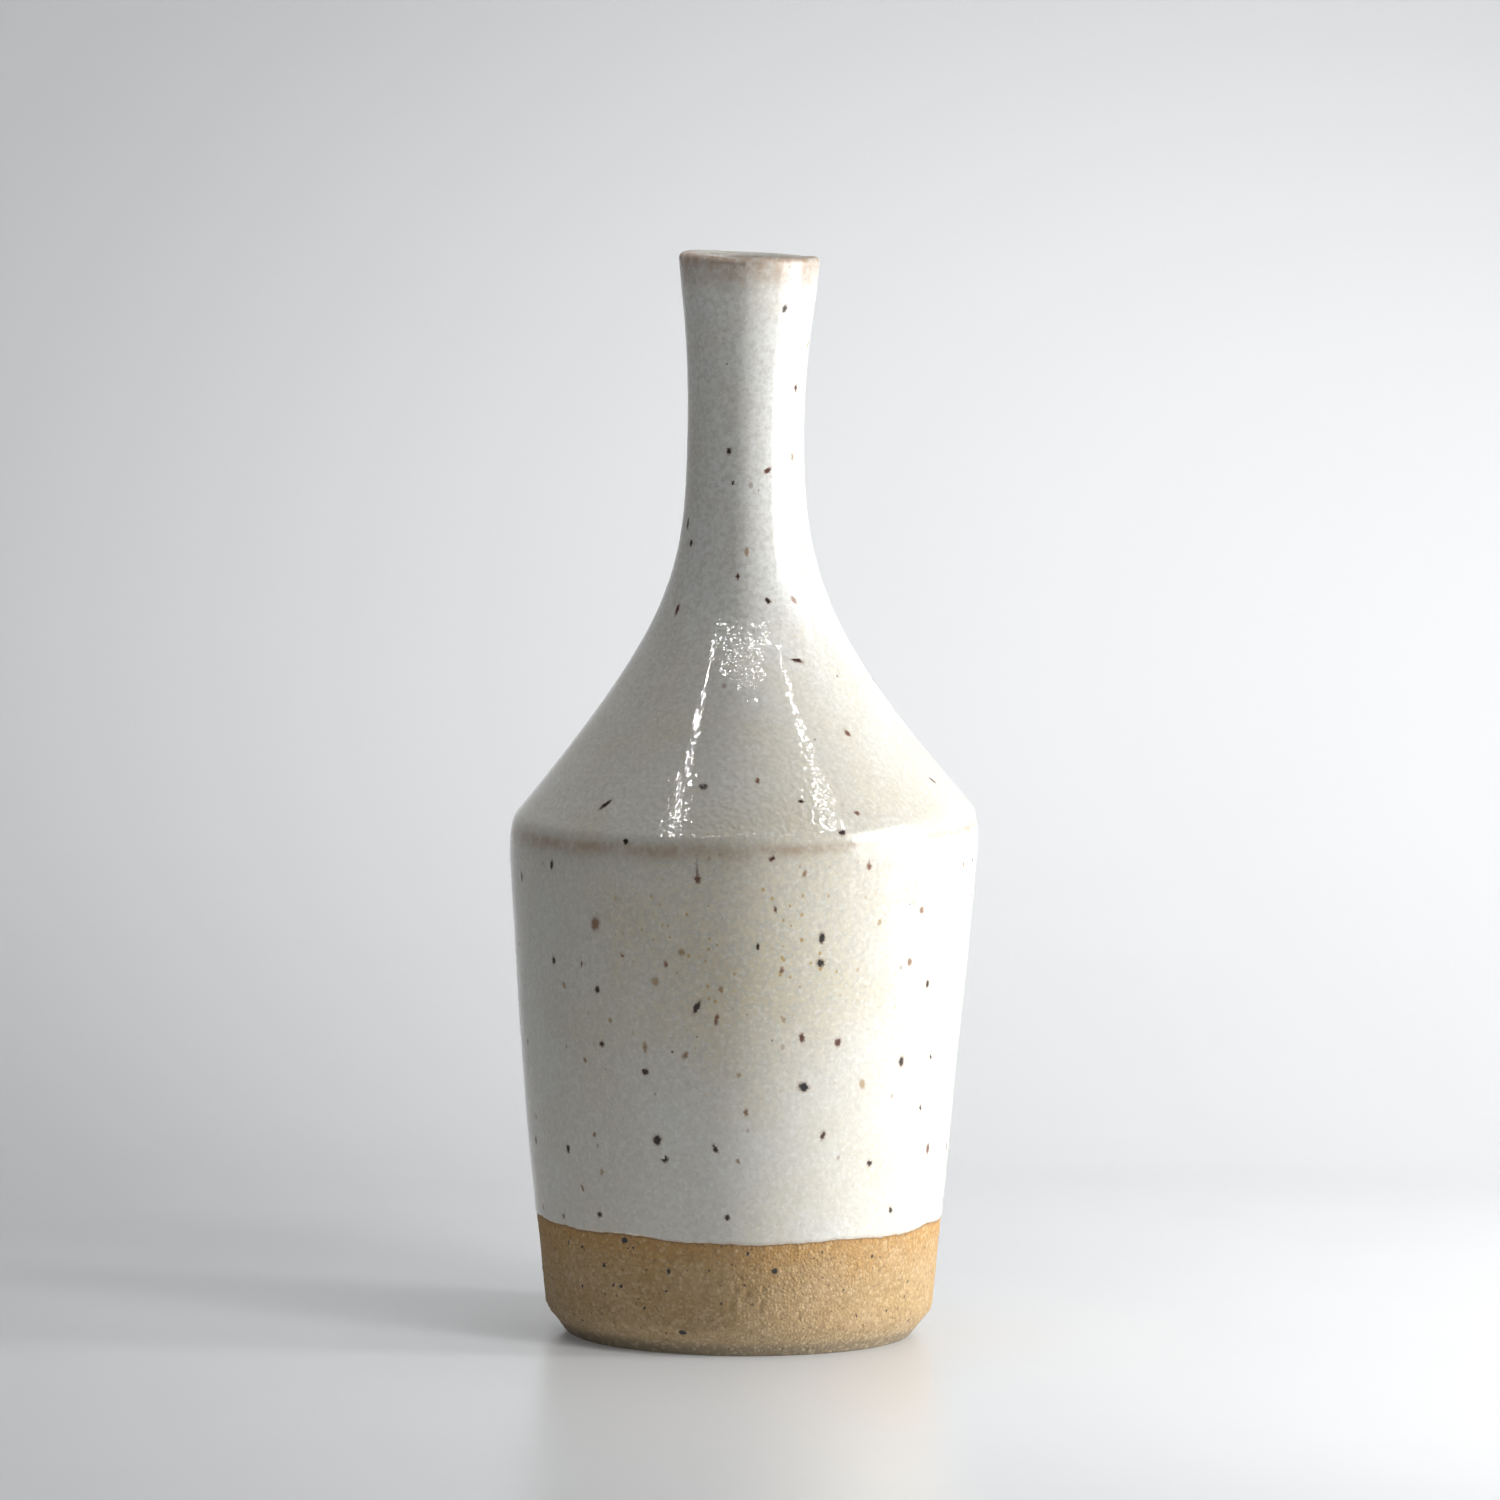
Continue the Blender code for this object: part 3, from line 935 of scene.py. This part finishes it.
def paint_coat(obj):
    """Keeps where the coat is thin, where it is warm and where it is pebbled."""
    points = positions(obj)
    x, y, z = points.T
    radii = np.hypot(x, y)
    turn = half_turn(np.degrees(np.arctan2(y, x)) - FRONT)
    level = z - shoulder_tilt(x, y, z)

    # Thin over the lip, just under the shoulder's edge and at the glaze line.
    wander = field(points * (1, 1, 0.2), 6.0, 24)
    below_edge = level - BREAK + 0.4 * wander
    narrow = 1 - 0.6 * bell(turn, 50, 38)
    band = bell(below_edge, 0, np.where(below_edge > 0, 1.0, 1.7) * narrow)
    band *= np.clip(0.6 + 0.35 * field(points, 11.0, 25), 0.25, 0.85)
    edge = 0.5 * bell(z - GLAZE_LINE - glaze_line(np.radians(turn + FRONT)), 0, 0.45)
    lip = np.clip((z - HEIGHT + 6.5 + 1.5 * wander) / 7.0, 0, 1) ** 0.8
    lip *= np.clip((radii - 9.8) / 1.6, 0.25, 1)
    on_neck = np.where(z > HEIGHT - 12, lip, 0)
    paint(obj, "thin", np.where(radii > BODY, np.maximum(band, edge), on_neck))

    # Warm in a cloud on the front and two behind.
    behind = turn % 360
    cloud = bell(z, 77, 20) * bell(turn, 3, 37)
    cloud += 0.7 * bell(z, 60, 30) * bell(behind, 190, 50)
    cloud += 0.5 * bell(z, 120, 22) * bell(behind, 220, 40)
    paint(obj, "warm", np.clip(cloud + 0.25 * field(points, 12.0, 26), 0, 1))

    # Pebbled most near the shoulder's edge and in a patch below the neck.
    relief = 0.4 + 0.75 * bell(z, 101, 11) * np.clip((level - BREAK - 0.6) / 2, 0.1, 1)
    relief += 1.0 * bell(z, 127, 5) * bell(turn, -3, 10)
    paint(obj, "relief", relief)


def outer_coat():
    """The white glaze outside: a closed skin over the clay, rolled at its lower edge."""
    fine = 360
    rings, facing_out = coat_rings(fine)
    obj = turned_mesh("white_glaze", rings, True, speckled_glaze("speckled_glaze", WHITE, 0.35))
    paint_coat(obj)
    points = positions(obj)
    finger_marks = 0.012 * np.sin(points[:, 2] * 1.15 + 2 * field(points * (0.1, 0.1, 1), 9.0, 21))
    heights = finger_marks + 0.07 * field(points, 13.0, 22) + 0.008 * field(points, 3.0, 23)
    heights *= np.clip((points[:, 2] - GLAZE_LINE) / 4, 0, 1)
    heights[facing_out * fine:] = 0
    push_out(obj, heights)
    others = random_specks(150, GLAZE_LINE + 2, 95, 41, FRONT_SPECKS)
    others += random_specks(42, 98, 135, 43, FRONT_SPECKS, front_size=0)
    others += random_specks(22, 135, 190, 45, FRONT_SPECKS, front_size=0)
    settle_specks(obj, FRONT_SPECKS + others, wall_radius, lambda z: np.where(z > 130, 9.5, 20.0))
    return obj


def liner():
    """The glaze inside, from the floor up to where the outer coat takes over."""
    inside = hollow()
    face = fresh_rows(inside[inside[:, 1] < MEETING], lambda p: 1.0 if p[1] > 150 else 3.0)
    back = face[::-1] - COAT * sides_of(face)[::-1]
    floor = face[0][1]
    rings = [ring(0, floor, 1)]
    rings += [ring(face[0][0] * share, floor, 60) for share in (0.25, 0.5, 0.75)]
    rings += [ring(*p, 120) for p in np.vstack((face, back))]
    rings += [ring(face[0][0] * share, floor - COAT, 60) for share in (0.75, 0.5, 0.25)]
    rings.append(ring(0, floor - COAT, 1))
    rings = [off_true(r) for r in rings]
    obj = turned_mesh("liner_glaze", rings, False, speckled_glaze("liner_glaze", LINER_WHITE, 0.5))
    points = positions(obj)
    paint(obj, "thin", np.zeros(len(points)))
    paint(obj, "warm", np.full(len(points), 0.3))
    paint(obj, "relief", np.full(len(points), 0.5))
    settle_specks(obj, [], wall_radius, lambda z: 0 * z)
    return obj


# -------- studio

def clear_from_behind(graph):
    """Lets the camera, and nothing else, look through the back of a sheet."""
    back = graph.node("ShaderNodeNewGeometry").outputs["Backfacing"]
    to_camera = graph.node("ShaderNodeLightPath").outputs["Is Camera Ray"]
    clear = graph.node("ShaderNodeBsdfTransparent").outputs["BSDF"]
    either = graph.node("ShaderNodeMixShader")
    seen_from_behind = graph.times(back, to_camera)
    for socket, value in zip(either.inputs, (seen_from_behind, graph.shader.outputs["BSDF"], clear)):
        graph.plug(socket, value)
    graph.plug(graph.tree.nodes["Material Output"].inputs["Surface"], either.outputs["Shader"])
    graph.material.use_transparent_shadow = False


def sweep():
    """The pale table that curves up behind the vase."""
    front = -3.0
    bend = 0.22
    radius = 0.45
    back_height = 2.5
    half_width = 3.0
    steps = 64
    line = [(front, 0.0)]
    for i in range(steps + 1):
        turn = math.radians(90 * i / steps)
        line.append((bend + radius * math.sin(turn), radius - radius * math.cos(turn)))
    line.append((bend + radius, back_height))
    vertices = [(x, y, z) for y, z in line for x in (-half_width, half_width)]
    faces = [(2 * i, 2 * i + 1, 2 * i + 3, 2 * i + 2) for i in range(len(line) - 1)]
    mesh = bpy.data.meshes.new("sweep")
    mesh.from_pydata(vertices, [], faces)
    mesh.shade_smooth()
    graph = Surface("pale_board")
    tone = graph.mix(graph.noise(90, 2, 0.5), BOARD, PALE_BOARD)
    roughness = graph.between(graph.noise(60, 2, 0.5, shift=5.0), 0.3, 0.7, 0.285, 0.31)
    mesh.materials.append(graph.finish(tone, roughness, graph.bump(graph.noise(40, 1, 0.5), 0.002)))
    clear_from_behind(graph)
    obj = bpy.data.objects.new("sweep", mesh)
    bpy.context.scene.collection.objects.link(obj)
    return obj


def hung(lamp, centre, aim):
    """An object for the lamp, at centre and facing aim."""
    obj = bpy.data.objects.new(lamp.name, lamp)
    obj.location = centre
    obj.rotation_euler = (Vector(aim) - Vector(centre)).to_track_quat("-Z", "Y").to_euler()
    bpy.context.scene.collection.objects.link(obj)
    return obj


def panel(name, centre, aim, size, radiance, diffuse=True, glossy=True):
    """A rectangular light at centre, facing aim, with the given width and height in metres."""
    lamp = bpy.data.lights.new(name, "AREA")
    lamp.shape = "RECTANGLE"
    lamp.size, lamp.size_y = size
    lamp.energy = radiance * math.pi * size[0] * size[1]
    obj = hung(lamp, centre, aim)
    obj.visible_diffuse = diffuse
    obj.visible_glossy = glossy
    obj.visible_camera = False
    return obj


def feather(lamp, margin):
    """Fades a panel's light out towards its edges, over a share of its width and of its height."""
    graph = Graph(lamp.data)
    place = graph.parts(graph.node("ShaderNodeNewGeometry").outputs["Parametric"])
    across, up = (graph.between(graph.math("PINGPONG", at, 0.5), 0.0, m) for at, m in zip(place, margin))
    graph.plug(graph.tree.nodes["Emission"].inputs["Strength"], graph.times(across, up))


def tube(name, start, end, width, radiance):
    """A thin lamp between two points overhead, seen only in reflections."""
    start = Vector(start)
    end = Vector(end)
    middle = (start + end) / 2
    down = Vector((0, 0, -1))
    obj = panel(name, middle, middle + down, ((end - start).length, width), radiance, diffuse=False)
    along = (end - start).normalized()
    obj.rotation_euler = Matrix((along, (-down).cross(along), -down)).transposed().to_euler()


def spot(name, centre, aim, angle, power):
    """A round light that fades out from its middle to the edge of its cone."""
    lamp = bpy.data.lights.new(name, "SPOT")
    lamp.energy = power
    lamp.spot_size = math.radians(angle)
    lamp.spot_blend = 1.0
    obj = hung(lamp, centre, aim)
    obj.visible_glossy = False
    return obj


def light_only(objects, lamp, shadows):
    """Keeps a lamp's light to these objects. Without shadows, nothing else stands in its way."""
    group = bpy.data.collections.new(lamp.name + "_lights")
    for obj in objects:
        group.objects.link(obj)
    lamp.light_linking.receiver_collection = group
    if not shadows:
        lamp.light_linking.blocker_collection = group


def studio(vase, backdrop):
    """The lamps. Each lights the vase, the backdrop or both, and shows in the glaze or doesn't."""
    scene = bpy.context.scene
    scene.view_settings.view_transform = "Standard"
    scene.world = bpy.data.worlds.new("studio")
    scene.world.use_nodes = True
    sky = scene.world.node_tree.nodes["Background"]
    sky.inputs["Color"].default_value = (*SKY, 1)
    sky.inputs["Strength"].default_value = 0.02

    # On the vase: a compact lamp at its right, a white wall there that only the glaze mirrors, a soft
    # ceiling, and a little light on the neck.
    panel("key", (0.447, -0.080, 0.12), (0, 0, 0.12), (0.09, 0.24), 38.0, glossy=False)
    side = panel("side_wall", (0.37, -0.12, 0.22), (0, -0.12, 0.22), (0.38, 0.42), 9.0, diffuse=False)
    feather(side, (0.16, 0.4))
    panel("ceiling", (0.12, 0.1, 1.2), (0, 0, 0), (1.2, 1.2), 1.8, glossy=False)
    neck_fill = panel("neck_fill", (-0.03, -0.13, 0.33), (0, 0, 0.16), (0.1, 0.1), 1.1, glossy=False)
    light_only(vase, neck_fill, shadows=True)

    # On the table and the backdrop: the first gives the soft shadow that runs back to the left.
    front_right = panel("front_right", (0.5, -0.6, 0.25), (0, 0, 0.05), (0.3, 0.3), 10.5, glossy=False)
    table_right = spot("table_right", (0.6, -0.5, 0.5), (0.13, -0.08, 0), 30, 24.0)
    table_right.data.shadow_soft_size = 0.12
    for lamp in (front_right, table_right):
        light_only([backdrop], lamp, shadows=True)
    washes = [
        panel("table_wash", (0.3, -1.2, 0.8), (0.05, 0, 0), (0.5, 0.5), 8.5, glossy=False),
        panel("low_glow", (0.55, 0.1, 0.06), (0.1, 0.6, 0.1), (0.15, 0.15), 22.0, glossy=False),
        spot("backdrop_wash", (0.5, -1.0, 0.7), (0.16, 0.42, 0.03), 25, 46.5),
        spot("right_wash", (0.9, -0.6, 0.5), (0.16, 0.36, 0.02), 30, 43.0),
    ]
    for wash in washes:
        light_only([backdrop], wash, shadows=False)

    # The lamp frame overhead, which the glaze mirrors as thin broken lines.
    top = 0.8
    width = 0.004
    tube("strip_left", (-0.474, -0.466, top), (-0.28, -0.08, top), width, 220.0)
    tube("strip_right", (0.438, -0.413, top), (0.333, -0.08, top), width, 220.0)
    tube("strip_near", (-0.46, -0.55, top), (0.42, -0.55, top), width, 140.0)
    tube("strip_inner", (-0.32, -0.46, top), (0.22, -0.42, top), width, 120.0)


def camera():
    """A long lens, a little above the vase and looking down at its middle."""
    looking_down = math.radians(5.293)
    roll = math.radians(0.58)
    data = bpy.data.cameras.new("camera")
    data.lens = 255.6
    data.sensor_width = 36
    data.clip_end = 20
    obj = bpy.data.objects.new("camera", data)
    obj.location = (0.001, -1.96, 0.29)
    aim = Matrix.Rotation(math.pi / 2 - looking_down, 4, "X")
    obj.rotation_euler = (aim @ Matrix.Rotation(roll, 4, "Z")).to_euler()
    bpy.context.scene.collection.objects.link(obj)
    bpy.context.scene.camera = obj


def dressed(obj, node):
    """The object, standing for its CAD node."""
    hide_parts(node)
    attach(obj, "root")
    return obj


vase = [
    dressed(stoneware_body(), "clay_body"),
    dressed(outer_coat(), "outer_glaze"),
    dressed(liner(), "inner_glaze"),
]
studio(vase, sweep())
camera()
